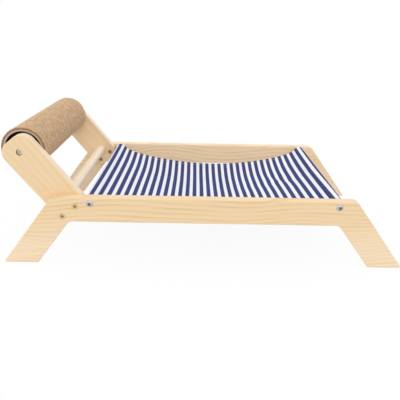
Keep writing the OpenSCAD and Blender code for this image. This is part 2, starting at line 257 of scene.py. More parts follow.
class HammockStage(bpy.types.PropertyGroup):
    """Camera, lamps and floor."""

    camera_place: spot("Camera place", "Place of the lens", (-0.01455, -0.83186, 0.35329))
    camera_down: angle("Camera down", "Tilt of the camera below level", 20.505)
    camera_right: angle("Camera right", "Turn of the camera to the right", 0.634)
    camera_roll: angle("Camera roll", "Roll of the camera", 1.206)
    lens: FloatProperty(name="Lens", description="Focal length in millimetres", default=44.54)
    key_place: spot("Key place", "Soft lamp above the camera", (0.7, -2.8, 2.0))
    key_size: length("Key size", "Width of the key lamp", 2200)
    key_power: watts("Key power", "Power of the key lamp", 29.5)
    top_place: spot("Top place", "Soft lamp over the bed", (-0.2, 0.8, 3.7))
    top_size: length("Top size", "Width of the top lamp", 3000)
    top_power: watts("Top power", "Power of the top lamp", 15)
    side_place: spot("Side place", "Soft lamp past the head end", (-2.4, -0.3, 0.8))
    side_size: length("Side size", "Width of the side lamp", 1500)
    side_power: watts("Side power", "Power of the side lamp", 11)
    room_light: FloatProperty(name="Room light", description="Light of the white room", default=0.83)
    floor_radius: length("Floor radius", "Radius of the studio floor", 8000)
    floor_drop: length("Floor drop", "Gap between the feet and the floor", 0.2)
    floor_white: factor("Floor white", "Share of plain white in the floor under the bed", 0.93)
    shadow_near: length("Shadow near", "From the bed's middle to where its shadow starts to fade", 200)
    shadow_far: length("Shadow far", "From the bed's middle to where its shadow is gone", 600)


# Modelling

def clear_selection():
    """Leaves object mode with nothing selected."""
    if bpy.context.object and bpy.context.object.mode != "OBJECT":
        bpy.ops.object.mode_set(mode="OBJECT")
    bpy.ops.object.select_all(action="DESELECT")


def activate(piece):
    """Selects one piece alone."""
    clear_selection()
    piece.select_set(True)
    bpy.context.view_layer.objects.active = piece


def named(name):
    """Names the active piece, and puts its place in its mesh."""
    piece = bpy.context.active_object
    piece.name = name
    piece.data.name = name
    bpy.ops.object.transform_apply(location=True, rotation=True, scale=True)
    return piece


def joined(name, pieces):
    """Joins pieces into one."""
    clear_selection()
    for piece in pieces:
        piece.select_set(True)
    bpy.context.view_layer.objects.active = pieces[0]
    bpy.ops.object.join()
    return named(name)


def choose(piece, kind, test):
    """Selects, in edit mode, the edges or faces that pass a test."""
    bpy.ops.object.mode_set(mode="EDIT")
    bpy.ops.mesh.select_mode(type=kind)
    bpy.ops.mesh.select_all(action="DESELECT")
    mesh = bmesh.from_edit_mesh(piece.data)
    for part in {"EDGE": mesh.edges, "FACE": mesh.faces}[kind]:
        if test(part):
            part.select_set(True)
    mesh.select_flush_mode()
    bmesh.update_edit_mesh(piece.data)


def face_out():
    """Turns all faces of the piece in edit mode outwards, and leaves edit mode."""
    bpy.ops.mesh.select_all(action="SELECT")
    bpy.ops.mesh.normals_make_consistent(inside=False)
    bpy.ops.object.mode_set(mode="OBJECT")


def modify(piece, kind, **settings):
    """Adds one modifier and applies it."""
    activate(piece)
    modifier = piece.modifiers.new(kind.title(), kind)
    for name, value in settings.items():
        setattr(modifier, name, value)
    bpy.ops.object.modifier_apply(modifier=modifier.name)


def soften(piece, width):
    """Bevels the sharp edges of a piece."""
    modify(piece, "BEVEL", width=width, segments=2, limit_method="ANGLE", angle_limit=math.radians(60))


def cut_away(piece, tool):
    """Takes the shape of a tool out of a piece, and removes the tool."""
    modify(piece, "BOOLEAN", object=tool, operation="DIFFERENCE", solver="MANIFOLD")
    bpy.data.objects.remove(tool)


def middle(node):
    """Middle of a node's box."""
    low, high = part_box(node)
    return (low + high) / 2


def dress(node, material):
    """Gives a carried-over node its finish."""
    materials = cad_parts[node].data.materials
    materials.clear()
    materials.append(material)


def complete(piece, material, slot, body, *nodes, smooth=30):
    """Gives a finished piece its shading, finish and body, and hides the nodes that it stands for."""
    activate(piece)
    bpy.ops.object.shade_smooth_by_angle(angle=math.radians(smooth))
    modify(piece, "WEIGHTED_NORMAL", keep_sharp=True)
    piece.data.materials.clear()
    piece.data.materials.append(material)
    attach(piece, body)
    if nodes:
        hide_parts(*nodes)


def rounded(corners, steps=10):
    """Points of an outline whose corners, given as (x, z, radius), are rounded by arcs."""
    points = []
    for i, (x, z, radius) in enumerate(corners):
        corner = Vector((x, z))
        back = (Vector(corners[i - 1][:2]) - corner).normalized()
        ahead = (Vector(corners[(i + 1) % len(corners)][:2]) - corner).normalized()
        half = back.angle(ahead) / 2
        centre = corner + (back + ahead).normalized() * radius / math.sin(half)
        start = (corner + back * radius / math.tan(half) - centre).normalized()
        end = (corner + ahead * radius / math.tan(half) - centre).normalized()
        points += [centre + radius * start.slerp(end, step / steps) for step in range(steps + 1)]
    return points


def sawn_board(name, corners, inner, outer, ease):
    """A board in the XZ plane, sawn to corners of (x, z, radius) and sanded along its edges."""
    low, high = sorted((inner, outer))
    points = rounded(corners)
    clear_selection()
    bpy.ops.mesh.primitive_circle_add(vertices=len(points), fill_type="NGON")
    board = named(name)
    for vertex, point in zip(board.data.vertices, points):
        vertex.co = (point.x, low, point.y)
    board.data.update()
    choose(board, "FACE", lambda face: True)
    bpy.ops.mesh.extrude_region_move(TRANSFORM_OT_translate={"value": (0, high - low, 0)})
    face_out()
    choose(board, "EDGE", lambda edge: edge.calc_face_angle(0) > math.radians(60))
    bpy.ops.mesh.bevel(offset=ease, segments=4)
    bpy.ops.object.mode_set(mode="OBJECT")
    return board


def drill(board, at, from_y, to_y, width, to_width=None):
    """Drills a hole along Y at a point of the XZ plane, or a cone whose width at to_y differs."""
    clear_selection()
    turn = math.copysign(math.pi / 2, from_y - to_y)
    bpy.ops.mesh.primitive_cone_add(
        vertices=48, radius1=width / 2, radius2=(to_width or width) / 2, depth=abs(to_y - from_y),
        location=(at.x, (from_y + to_y) / 2, at.y), rotation=(turn, 0, 0))
    cut_away(board, named("drill"))


def mark_cuts(board, holes):
    """Marks the sawn edges and, near each (point, width) of the XZ plane, the walls of the holes."""
    faces = board.data.polygons
    bore = np.zeros(len(faces), dtype=np.float32)
    for at, width in holes:
        for face in faces:
            out = face.center.xz - at
            if out.length < 0.51 * width and face.normal.xz.dot(out) < 0:
                bore[face.index] = 1
    edge = np.array([1 - abs(face.normal.y) for face in faces], dtype=np.float32) * (1 - bore)
    for name, values in (("bore", bore), ("edge", edge)):
        board.data.attributes.new(name, "FLOAT", "FACE").data.foreach_set("value", values)


def cylinder(name, node, sides, ends="NGON"):
    """A cylinder along Y that fills a node's box."""
    low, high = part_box(node)
    clear_selection()
    bpy.ops.mesh.primitive_cylinder_add(
        vertices=sides, radius=(high.x - low.x) / 2, depth=high.y - low.y, end_fill_type=ends,
        location=(low + high) / 2, rotation=(math.pi / 2, 0, 0))
    return named(name)


def turned(name, rings, sides=48):
    """A piece turned on the Z axis through rings of (height, radius)."""
    clear_selection()
    height, radius = rings[0]
    bpy.ops.mesh.primitive_circle_add(vertices=sides, radius=radius, fill_type="NGON",
                                      location=(0, 0, height))
    piece = named(name)
    choose(piece, "FACE", lambda face: True)
    for next_height, next_radius in rings[1:]:
        bpy.ops.mesh.extrude_region_move(TRANSFORM_OT_translate={"value": (0, 0, next_height - height)})
        grow = next_radius / radius
        bpy.ops.transform.resize(value=(grow, grow, 1), center_override=(0, 0, next_height))
        height, radius = next_height, next_radius
    face_out()
    return piece


def set_in(template, name, places):
    """Copies a piece that points up Z to each (point, sign), turned to point along Y, as one piece."""
    copies = []
    for point, sign in places:
        activate(template)
        bpy.ops.object.duplicate()
        copy = bpy.context.object
        copy.matrix_world = Matrix.Translation(point) @ Matrix.Rotation(-sign * math.pi / 2, 4, "X")
        bpy.ops.object.transform_apply(location=True, rotation=True, scale=True)
        copies.append(copy)
    return joined(name, copies)


def grid(name, along, across):
    """A flat grid of faces, and each vertex's shares along and across it."""
    clear_selection()
    bpy.ops.mesh.primitive_grid_add(x_subdivisions=along, y_subdivisions=across, size=1)
    piece = named(name)
    flat = np.empty(len(piece.data.vertices) * 3)
    piece.data.vertices.foreach_get("co", flat)
    return piece, flat.reshape(-1, 3)[:, :2] + 0.5


def lay(piece, places, woven):
    """Moves a grid's vertices to their places, and keeps their lengths on the cloth as its UV map."""
    mesh = piece.data
    mesh.vertices.foreach_set("co", places.ravel())
    corners = np.empty(len(mesh.loops), dtype=int)
    mesh.loops.foreach_get("vertex_index", corners)
    mesh.uv_layers["UVMap"].data.foreach_set("uv", woven[corners].ravel())
    mesh.update()


# Shading

def add(tree, kind, inputs=None, **options):
    """Adds a shader node with its options, and sets its inputs or links them to a socket or a node."""
    node = tree.nodes.new("ShaderNode" + kind)
    for option, value in options.items():
        setattr(node, option, value)
    for name, value in (inputs or {}).items():
        if isinstance(value, bpy.types.Node):
            value = next(output for output in value.outputs if output.enabled)
        if isinstance(value, bpy.types.NodeSocket):
            tree.links.new(value, node.inputs[name])
        else:
            node.inputs[name].default_value = value
    return node


def blank(name):
    """A new material and its empty tree."""
    material = bpy.data.materials.new(name)
    material.use_nodes = True
    material.node_tree.nodes.clear()
    return material, material.node_tree


def shaded(material, **sockets):
    """Ends a material with its shader, whose sockets are linked or hold a value."""
    tree = material.node_tree
    shader = add(tree, "BsdfPrincipled", {key.replace("_", " "): value for key, value in sockets.items()})
    add(tree, "OutputMaterial", {"Surface": shader})
    return material


def rate(along, across, deep=1000):
    """Repeats per metre, along each axis, of a pattern of those millimetres. A flat one needs no depth."""
    return tuple(1 / (size * MM) for size in (along, across, deep))


def waves(spacing):
    """Scale of a wave texture whose waves lie that far apart."""
    return math.tau / 20 / spacing


def pine(name, early, turn, heart, figure, highlight_share):
    """Sanded pine, clear satin: faint honey rings, fine fibres, paler legs, painted highlight on the edges,
    dark end grain and painted shade in the bores.
    """
    colours = bpy.context.scene.hammock_colours
    ring = bpy.context.scene.hammock_boards.growth_ring
    material, tree = blank(name)
    place = add(tree, "TexCoord").outputs["Object"]
    # The grain is turned to run along X, round the log's heart
    grain = add(tree, "Mapping", {"Vector": place, "Rotation": (0, turn, 0), "Location": heart})
    slow = add(tree, "VectorMath", {0: grain, 1: rate(200, 333, 125)}, operation="MULTIPLY")
    waver = add(tree, "TexNoise", {"Vector": slow, "Scale": 1, "Detail": 1}).outputs["Color"]
    bent = add(tree, "VectorMath", {0: waver, 1: (0, 4 * MM, 40 * MM), 2: grain}, operation="MULTIPLY_ADD")
    rings = add(tree, "TexWave", {"Vector": bent, "Scale": waves(ring)},
                wave_type="RINGS", rings_direction="X", wave_profile="SAW").outputs["Fac"]
    late = add(tree, "MapRange", {"Value": rings, "From Min": 0.35, "From Max": 0.95},
               interpolation_type="SMOOTHSTEP")
    # The rings come and go in long patches, and are faint in the paler legs
    long = add(tree, "VectorMath", {0: grain, 1: rate(90.9, 25, 8.33)}, operation="MULTIPLY")
    patch = add(tree, "TexNoise", {"Vector": long, "Scale": 1, "Detail": 2})
    bold = add(tree, "MapRange", {"Value": patch, "From Min": 0.35, "From Max": 0.7,
                                  "To Min": 0.2 * figure, "To Max": figure})
    height = add(tree, "SeparateXYZ", {0: place}).outputs["Z"]
    low = add(tree, "MapRange", {"Value": height, "From Min": 75 * MM, "From Max": 30 * MM})
    soft = add(tree, "MapRange", {"Value": low, "To Min": 1, "To Max": 0.5})
    faint = add(tree, "Math", {0: bold, 1: soft}, operation="MULTIPLY")
    line = add(tree, "Math", {0: late, 1: faint}, operation="MULTIPLY")
    fine = add(tree, "VectorMath", {0: grain, 1: rate(71.4, 1.43, 1.43)}, operation="MULTIPLY")
    fibre = add(tree, "TexNoise", {"Vector": fine, "Scale": 1, "Detail": 3})
    streak = add(tree, "MapRange", {"Value": fibre, "From Min": 0.45, "From Max": 0.75, "To Max": 0.3})
    pale = add(tree, "Mix", {0: low, 6: early, 7: colours.sapwood}, data_type="RGBA")
    wood = add(tree, "Mix", {0: line, 6: pale, 7: colours.late_wood}, data_type="RGBA")
    fibred = add(tree, "Mix", {0: streak, 6: wood, 7: colours.late_wood}, data_type="RGBA")
    # Painted highlight: the sawn edges are mixed towards a paler tone, by the share given
    sawn = add(tree, "Attribute", attribute_name="edge").outputs["Fac"]
    painted_light_level = add(tree, "Math", {0: sawn, 1: highlight_share}, operation="MULTIPLY")
    edged = add(tree, "Mix", {0: painted_light_level, 6: fibred, 7: colours.edge_highlight}, data_type="RGBA")
    # The hole walls: partly darker end grain, partly painted shade
    bore = add(tree, "Attribute", attribute_name="bore").outputs["Fac"]
    bored = add(tree, "Mix", {0: bore, 6: edged, 7: colours.bore_grain_and_shade}, data_type="RGBA")
    relief = add(tree, "Bump", {"Height": fibre, "Strength": 0.15, "Distance": 0.2 * MM})
    return shaded(material, Base_Color=bored, Normal=relief, Roughness=0.42)


def birch(name):
    """Turned birch dowel, unfinished: pale, with short faint fibres along the dowel."""
    colours = bpy.context.scene.hammock_colours
    material, tree = blank(name)
    place = add(tree, "TexCoord").outputs["Object"]
    fine = add(tree, "VectorMath", {0: place, 1: rate(2, 62.5, 2)}, operation="MULTIPLY")
    fibre = add(tree, "TexNoise", {"Vector": fine, "Scale": 1, "Detail": 3})
    streak = add(tree, "MapRange", {"Value": fibre, "From Min": 0.4, "From Max": 0.7})
    wood = add(tree, "Mix", {0: streak, 6: colours.birch, 7: colours.birch_fibre}, data_type="RGBA")
    relief = add(tree, "Bump", {"Height": fibre, "Strength": 0.2, "Distance": 0.2 * MM})
    return shaded(material, Base_Color=wood, Normal=relief, Roughness=0.55)


def canvas(name):
    """Yarn-dyed cotton canvas: indigo stripes with slightly stepped edges, plain weave, dry matt yarn."""
    colours = bpy.context.scene.hammock_colours
    cloth = bpy.context.scene.hammock_cloth
    material, tree = blank(name)
    # Threads lie about 0.7 mm apart, and are drawn at twice that so that they show
    thread = 1.4 * MM
    step = 0.8 * MM
    place = add(tree, "UVMap", uv_map="UVMap")
    warp, weft = (add(tree, "TexWave", {"Vector": place, "Scale": waves(thread)}, bands_direction=way,
                      wave_profile="SIN").outputs["Fac"] for way in "XY")
    weave = add(tree, "Math", {0: warp, 1: weft}, operation="MULTIPLY")
    uneven = add(tree, "TexNoise", {"Vector": place, "Scale": 1 / (2.38 * MM), "Detail": 2})
    along = add(tree, "SeparateXYZ", {0: place}).outputs["X"]
    stepped = add(tree, "Math", {0: uneven, 1: step, 2: along}, operation="MULTIPLY_ADD")
    past = add(tree, "Math", {0: stepped, 1: cloth.first_stripe + step / 2}, operation="SUBTRACT")
    stripes = add(tree, "Math", {0: past, 1: cloth.stripe_pitch}, operation="DIVIDE")
    apart = add(tree, "Math", {0: stripes, 1: 0.5}, operation="PINGPONG")
    half = cloth.stripe_width / cloth.stripe_pitch / 2
    stripe = add(tree, "MapRange", {"Value": apart, "From Min": half + 0.02, "From Max": half - 0.02},
                 interpolation_type="SMOOTHSTEP")
    low = add(tree, "MapRange", {"Value": uneven, "From Min": 0.3, "From Max": 0.7})
    blue = add(tree, "Mix", {0: low, 6: colours.canvas_blue, 7: colours.canvas_deep}, data_type="RGBA")
    dyed = add(tree, "Mix", {0: stripe, 6: colours.canvas_white, 7: blue}, data_type="RGBA")
    relief = add(tree, "Bump", {"Height": weave, "Strength": 0.35, "Distance": 0.3 * MM})
    return shaded(material, Base_Color=dyed, Normal=relief, Roughness=0.95, Specular_IOR_Level=0.15)


def sisal(name):
    """Woven sisal mat: dry, matt tan yarn whose tone changes from bump to bump, with painted shade where it
    lies low, most in the gaps.
    """
    colours = bpy.context.scene.hammock_colours
    material, tree = blank(name)
    place = add(tree, "UVMap", uv_map="UVMap")
    depth = add(tree, "Attribute", attribute_name="yarn_height").outputs["Fac"]
    fine = add(tree, "VectorMath", {0: place, 1: rate(3.85, 0.714)}, operation="MULTIPLY")
    fibre = add(tree, "TexNoise", {"Vector": fine, "Scale": 1, "Detail": 4})
    # Darker strokes run round the roller with the yarn
    broad = add(tree, "VectorMath", {0: place, 1: rate(9.09, 3.03)}, operation="MULTIPLY")
    stroke = add(tree, "TexNoise", {"Vector": broad, "Scale": 1, "Detail": 3})
    # Painted shade: the lower the yarn, the darker its tone
    painted_light_level = add(tree, "MapRange", {"Value": depth, "From Min": 0.05, "From Max": 0.6})
    tone = add(tree, "Math", {0: stroke, 1: fibre}, operation="ADD")
    lift = add(tree, "MapRange", {"Value": tone, "From Min": 0.75, "From Max": 1.2, "To Min": 0.4})
    level = add(tree, "Math", {0: painted_light_level, 1: lift}, operation="MULTIPLY")
    yarn = add(tree, "Mix", {0: level, 6: colours.sisal_gap_shade, 7: colours.sisal}, data_type="RGBA")
    relief = add(tree, "Bump", {"Height": fibre, "Strength": 0.5, "Distance": 0.3 * MM})
    return shaded(material, Base_Color=yarn, Normal=relief, Roughness=0.92, Sheen_Weight=0.1)


def mottled(tree, place, tint, grit, low, high):
    """A tint whose tone varies between two levels at a grit of that size, and the spots themselves."""
    spots = add(tree, "TexNoise", {"Vector": place, "Scale": 1 / grit, "Detail": 3})
    level = add(tree, "MapRange", {"Value": spots, "To Min": low, "To Max": high})
    return add(tree, "VectorMath", {0: tint[:3], "Scale": level}, operation="SCALE"), spots


def speckled(name, tint, grit, strength, roughness):
    """A dry, matt finish whose tone varies a little from spot to spot, at a grit of that size."""
    material, tree = blank(name)
    place = add(tree, "TexCoord").outputs["Object"]
    tone, spots = mottled(tree, place, tint, grit, 1 - strength, 1 + strength)
    relief = add(tree, "Bump", {"Height": spots, "Strength": 0.1, "Distance": 0.1 * MM})
    return shaded(material, Base_Color=tone, Normal=relief, Roughness=roughness)


def plated(name, tint, oil, roughness):
    """Plated steel: a soft gloss with faint tumbling marks, painted shade in the sockets, and a dark tint on
    the thread that is an oily tint and painted shade.
    """
    material, tree = blank(name)
    place = add(tree, "TexCoord").outputs["Object"]
    tone, marks = mottled(tree, place, tint, 0.5 * MM, 0.9, 1.1)
    # Painted shade in the sockets; on the thread, an oily tint and painted shade
    oil_and_shade_mask = add(tree, "Attribute", attribute_name="oil").outputs["Fac"]
    oiled_and_shaded = add(tree, "Mix", {0: oil_and_shade_mask, 6: tone, 7: oil}, data_type="RGBA")
    relief = add(tree, "Bump", {"Height": marks, "Strength": 0.1, "Distance": 0.1 * MM})
    return shaded(material, Base_Color=oiled_and_shaded, Normal=relief, Roughness=roughness, Metallic=1)


def kraft(name, axis, bore):
    """Wound kraft board: pale pinkish cut ends, a little mottled, and painted shade, near black, in the bore.
    """
    colours = bpy.context.scene.hammock_colours
    material, tree = blank(name)
    place = add(tree, "TexCoord").outputs["Object"]
    centred = add(tree, "Mapping", {"Vector": place, "Location": -axis})
    flat = add(tree, "VectorMath", {0: centred, 1: (1, 0, 1)}, operation="MULTIPLY")
    radius = add(tree, "VectorMath", {0: flat}, operation="LENGTH")
    # Painted shade in the bore and at the inner edge of the cut ends
    edge = add(tree, "MapRange", {"Value": radius, "From Min": bore + 0.4 * MM, "From Max": bore + 0.8 * MM})
    pale, spots = mottled(tree, place, colours.kraft, 2 * MM, 0.85, 1.1)
    board = add(tree, "Mix", {0: edge, 6: colours.tube_bore_shade, 7: pale}, data_type="RGBA")
    relief = add(tree, "Bump", {"Height": spots, "Strength": 0.2, "Distance": 0.2 * MM})
    return shaded(material, Base_Color=board, Normal=relief, Roughness=0.9)


# Stage

class HAMMOCK_OT_stage(bpy.types.Operator):
    """Set the camera, the lamps and the white floor"""

    bl_idname = "hammock.stage"
    bl_label = "Stage"

    def execute(self, context):
        stage = context.scene.hammock_stage
        context.scene.view_settings.view_transform = "Standard"
        context.scene.camera = self.camera(stage)
        for name in ("key", "top", "side"):
            self.lamp(name, *(getattr(stage, f"{name}_{what}") for what in ("place", "size", "power")))
        self.floor(stage, context.scene.hammock_colours)
        self.room(context.scene, stage.room_light)
        return {"FINISHED"}

    def camera(self, stage):
        """A camera at the lens's place, turned right, tilted down and rolled."""
        clear_selection()
        bpy.ops.object.camera_add()
        camera = bpy.context.object
        camera.name = "camera"
        camera.data.lens = stage.lens
        camera.matrix_world = (
            Matrix.Translation(stage.camera_place) @ Matrix.Rotation(-stage.camera_right, 4, "Z")
            @ Matrix.Rotation(math.pi / 2 - stage.camera_down, 4, "X")
            @ Matrix.Rotation(stage.camera_roll, 4, "Z"))
        return camera

    def lamp(self, name, place, size, power):
        """A square soft lamp aimed at the bed."""
        clear_selection()
        aim = middle("sling_fabric") - place
        turn = aim.to_track_quat("-Z", "Y").to_euler()
        bpy.ops.object.light_add(type="AREA", location=place, rotation=turn)
        lamp = bpy.context.object
        lamp.name = name
        lamp.data.size = size
        lamp.data.energy = power

    def floor(self, stage, colours):
        """A white floor that takes the bed's shadow and fades into the white room."""
        clear_selection()
        bpy.ops.mesh.primitive_circle_add(vertices=128, radius=stage.floor_radius, fill_type="NGON",
                                          location=(0, 0, -stage.floor_drop))
        floor = named("floor")
        material, tree = blank("white studio floor")
        place = add(tree, "TexCoord").outputs["Object"]
        away = add(tree, "VectorMath", {0: place}, operation="LENGTH")
        fade = add(tree, "MapRange", {"Value": away, "From Min": stage.shadow_near,
                                      "From Max": stage.shadow_far, "To Min": stage.floor_white},
                   interpolation_type="SMOOTHSTEP")
        seen = self.seen(tree)
        # Where it only lights the bed, the floor is grey, so that less light comes from below
        tint = add(tree, "Mix", {0: seen, 6: colours.floor_bounce, 7: colours.floor}, data_type="RGBA")
        white = add(tree, "Math", {0: fade, 1: seen}, operation="MULTIPLY")
        matt = add(tree, "BsdfPrincipled", {"Base Color": tint, "Roughness": 0.9})
        mixed = add(tree, "MixShader", {0: white, 1: matt, 2: add(tree, "Emission")})
        add(tree, "OutputMaterial", {"Surface": mixed})
        floor.data.materials.append(material)

    def room(self, scene, strength):
        """A white room: full white where it is seen, and softer as light."""
        scene.world = bpy.data.worlds.new("white room")
        scene.world.use_nodes = True
        tree = scene.world.node_tree
        tree.nodes.clear()
        level = add(tree, "MapRange", {"Value": self.seen(tree), "To Min": strength})
        glow = add(tree, "Background", {"Strength": level, "Color": (1, 1, 1, 1)})
        add(tree, "OutputWorld", {"Surface": glow})

    def seen(self, tree):
        """1 for rays that show the background, directly or in a gloss, and 0 for rays that light."""
        rays = add(tree, "LightPath").outputs
        either = add(tree, "Math", {0: rays["Is Camera Ray"], 1: rays["Is Glossy Ray"]}, operation="MAXIMUM")
        return add(tree, "Math", {0: either, 1: rays["Is Transmission Ray"]}, operation="MAXIMUM")


# Boards

def faces(node):
    """A board's inner and outer face across the bed."""
    return sorted((corner.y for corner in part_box(node)), key=abs)


def arm_lines():
    """Root of an arm between its screws, and its directions up and fore, in the XZ plane."""
    root = middle("left_arm_screws").xz
    up = (middle("axle_bolts").xz - root).normalized()
    return root, up, Vector((up.y, -up.x))


def arm_screws(boards):
    """Places of an arm's two screws in the XZ plane."""
    root, _, fore = arm_lines()
    return [root + fore * boards.screw_gap * way for way in (-0.5, 0.5)]


class HAMMOCK_OT_side_frames(bpy.types.Operator):
    """Saw the two side frames, drill them and sand their edges"""

    bl_idname = "hammock.side_frames"
    bl_label = "Side frames"

    def execute(self, context):
        boards = context.scene.hammock_boards
        bolts = context.scene.hammock_bolts
        rods = [middle(node).xz for node in ("head_sling_rod", "foot_sling_rod")]
        screws = arm_screws(boards)
        hole = bolts.thread + 2 * bolts.clear
        sink = bolts.thread + 2 * bolts.glue
        flare = (bolts.flat_width - bolts.thread) / bolts.flat_height
        mouth = sink + flare * (bolts.flat_height + boards.edge_ease)
        for side, sign in SIDES.items():
            inner, outer = faces(f"{side}_side_frame")
            board = sawn_board(f"{side}_side_board", self.outline(boards), inner, outer, boards.edge_ease)
            past = sign * boards.edge_ease
            for at in rods + screws:
                drill(board, at, inner - past, outer + past, hole)
            for at in screws:
                drill(board, at, outer - sign * bolts.flat_height, outer + past, sink, mouth)
            mark_cuts(board, [(at, hole) for at in rods] + [(at, bolts.flat_width + hole) for at in screws])
            # The right side frame's lighter tone is painted light, for the far frame gets less light
            early = getattr(context.scene.hammock_colours, f"{side}_wood")
            heart = (getattr(boards, f"{side}_log"), boards.side_heart - inner, boards.under_heart)
            wood = pine(f"sanded pine, {side} side", early, math.radians(2), heart, figure=0.7, highlight_share=0)
            complete(board, wood, "pine_board", "frame", f"{side}_side_frame")
        return {"FINISHED"}

    def outline(self, boards):
        """Corners of a side frame as (x, z, radius), anticlockwise from the head knee."""
        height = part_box("left_side_frame")[1].z
        toe = boards.bed_length / 2
        lean = math.tan(boards.leg_lean)
        top = toe - height * lean
        under = height - boards.rail_depth
        knee = toe - boards.foot_width - under * lean
        half = [(toe - boards.foot_width, 0, boards.toe_round), (toe, 0, boards.toe_round),
                (top, height, boards.top_round)]
        return ([(-knee, under, boards.knee_fillet), (knee, under, boards.knee_fillet)] + half
                + [(-x, z, radius) for x, z, radius in reversed(half)])


class HAMMOCK_OT_head_arms(bpy.types.Operator):
    """Saw the two head arms, drill them and sand their edges"""

    bl_idname = "hammock.head_arms"
    bl_label = "Head arms"

    def execute(self, context):
        boards = context.scene.hammock_boards
        bolts = context.scene.hammock_bolts
        early = context.scene.hammock_colours.arm_wood
        axle = middle("axle_bolts").xz
        dowel = middle("arm_stretcher").xz
        dowel_low, dowel_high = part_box("arm_stretcher")
        socket = dowel_high.x - dowel_low.x + 2 * bolts.glue
        screws = arm_screws(boards)
        hole = bolts.thread + 2 * bolts.clear
        recess = bolts.cap_width + 2 * bolts.clear
        seat = bolts.insert_width + 2 * bolts.glue
        _, up, _ = arm_lines()
        turn = -math.atan2(up.y, -up.x)
        for side, sign in SIDES.items():
            inner, outer = faces(f"{side}_head_arm")
            corners = self.outline(boards, axle)
            board = sawn_board(f"{side}_arm_board", corners, inner, outer, boards.edge_ease)
            past = sign * boards.edge_ease
            for at in [axle] + screws:
                drill(board, at, inner - past, outer + past, hole)
            drill(board, axle, outer - sign * (bolts.cap_height + bolts.cap_sink), outer + past, recess)
            for at in screws:
                drill(board, at, inner - past, inner + sign * bolts.arm_insert, seat)
            drill(board, dowel, inner - past, sign * dowel_high.y, socket)
            mark_cuts(board, [(axle, recess)] + [(at, seat) for at in screws])
            heart = (sign * boards.arm_log, boards.arm_heart - inner, 0)
            wood = pine(f"sanded pine, {side} arm", early, turn, heart, figure=0.35, highlight_share=0.5)
            complete(board, wood, "pine_board", "frame", f"{side}_head_arm")
        return {"FINISHED"}

    def outline(self, boards, axle):
        """Corners of an arm as (x, z, radius), anticlockwise from its lower head corner."""
        root, up, fore = arm_lines()
        tail, tip = root - up * boards.arm_tail, axle + up * boards.arm_tip
        half = fore * boards.arm_width / 2
        return [(*corner, boards.arm_round) for corner in (tail - half, tail + half, tip + half, tip - half)]


class HAMMOCK_OT_dowels(bpy.types.Operator):
    """Turn the stretcher and finish the other dowels"""

    bl_idname = "hammock.dowels"
    bl_label = "Dowels"

    def execute(self, context):
        wood = birch("turned birch")
        dowel = cylinder("stretcher_dowel", "arm_stretcher", 64)
        soften(dowel, 0.6 * MM)
        complete(dowel, wood, "dowel_wood", "frame", "arm_stretcher")
        for node in ("head_sling_rod", "foot_sling_rod", "roller_axle"):
            dress(node, wood)
        return {"FINISHED"}


# Sling

def bezier(points, t):
    """Points of a cubic curve."""
    a, b, c, d = (np.array(p) for p in points)
    t = t[:, None]
    return a * (1 - t) ** 3 + 3 * b * t * (1 - t) ** 2 + 3 * c * t ** 2 * (1 - t) + d * t ** 3


def lengths_along(points):
    """Length along a line of points, up to each of them."""
    return np.concatenate([[0], np.cumsum(np.linalg.norm(np.diff(points, axis=0), axis=1))])


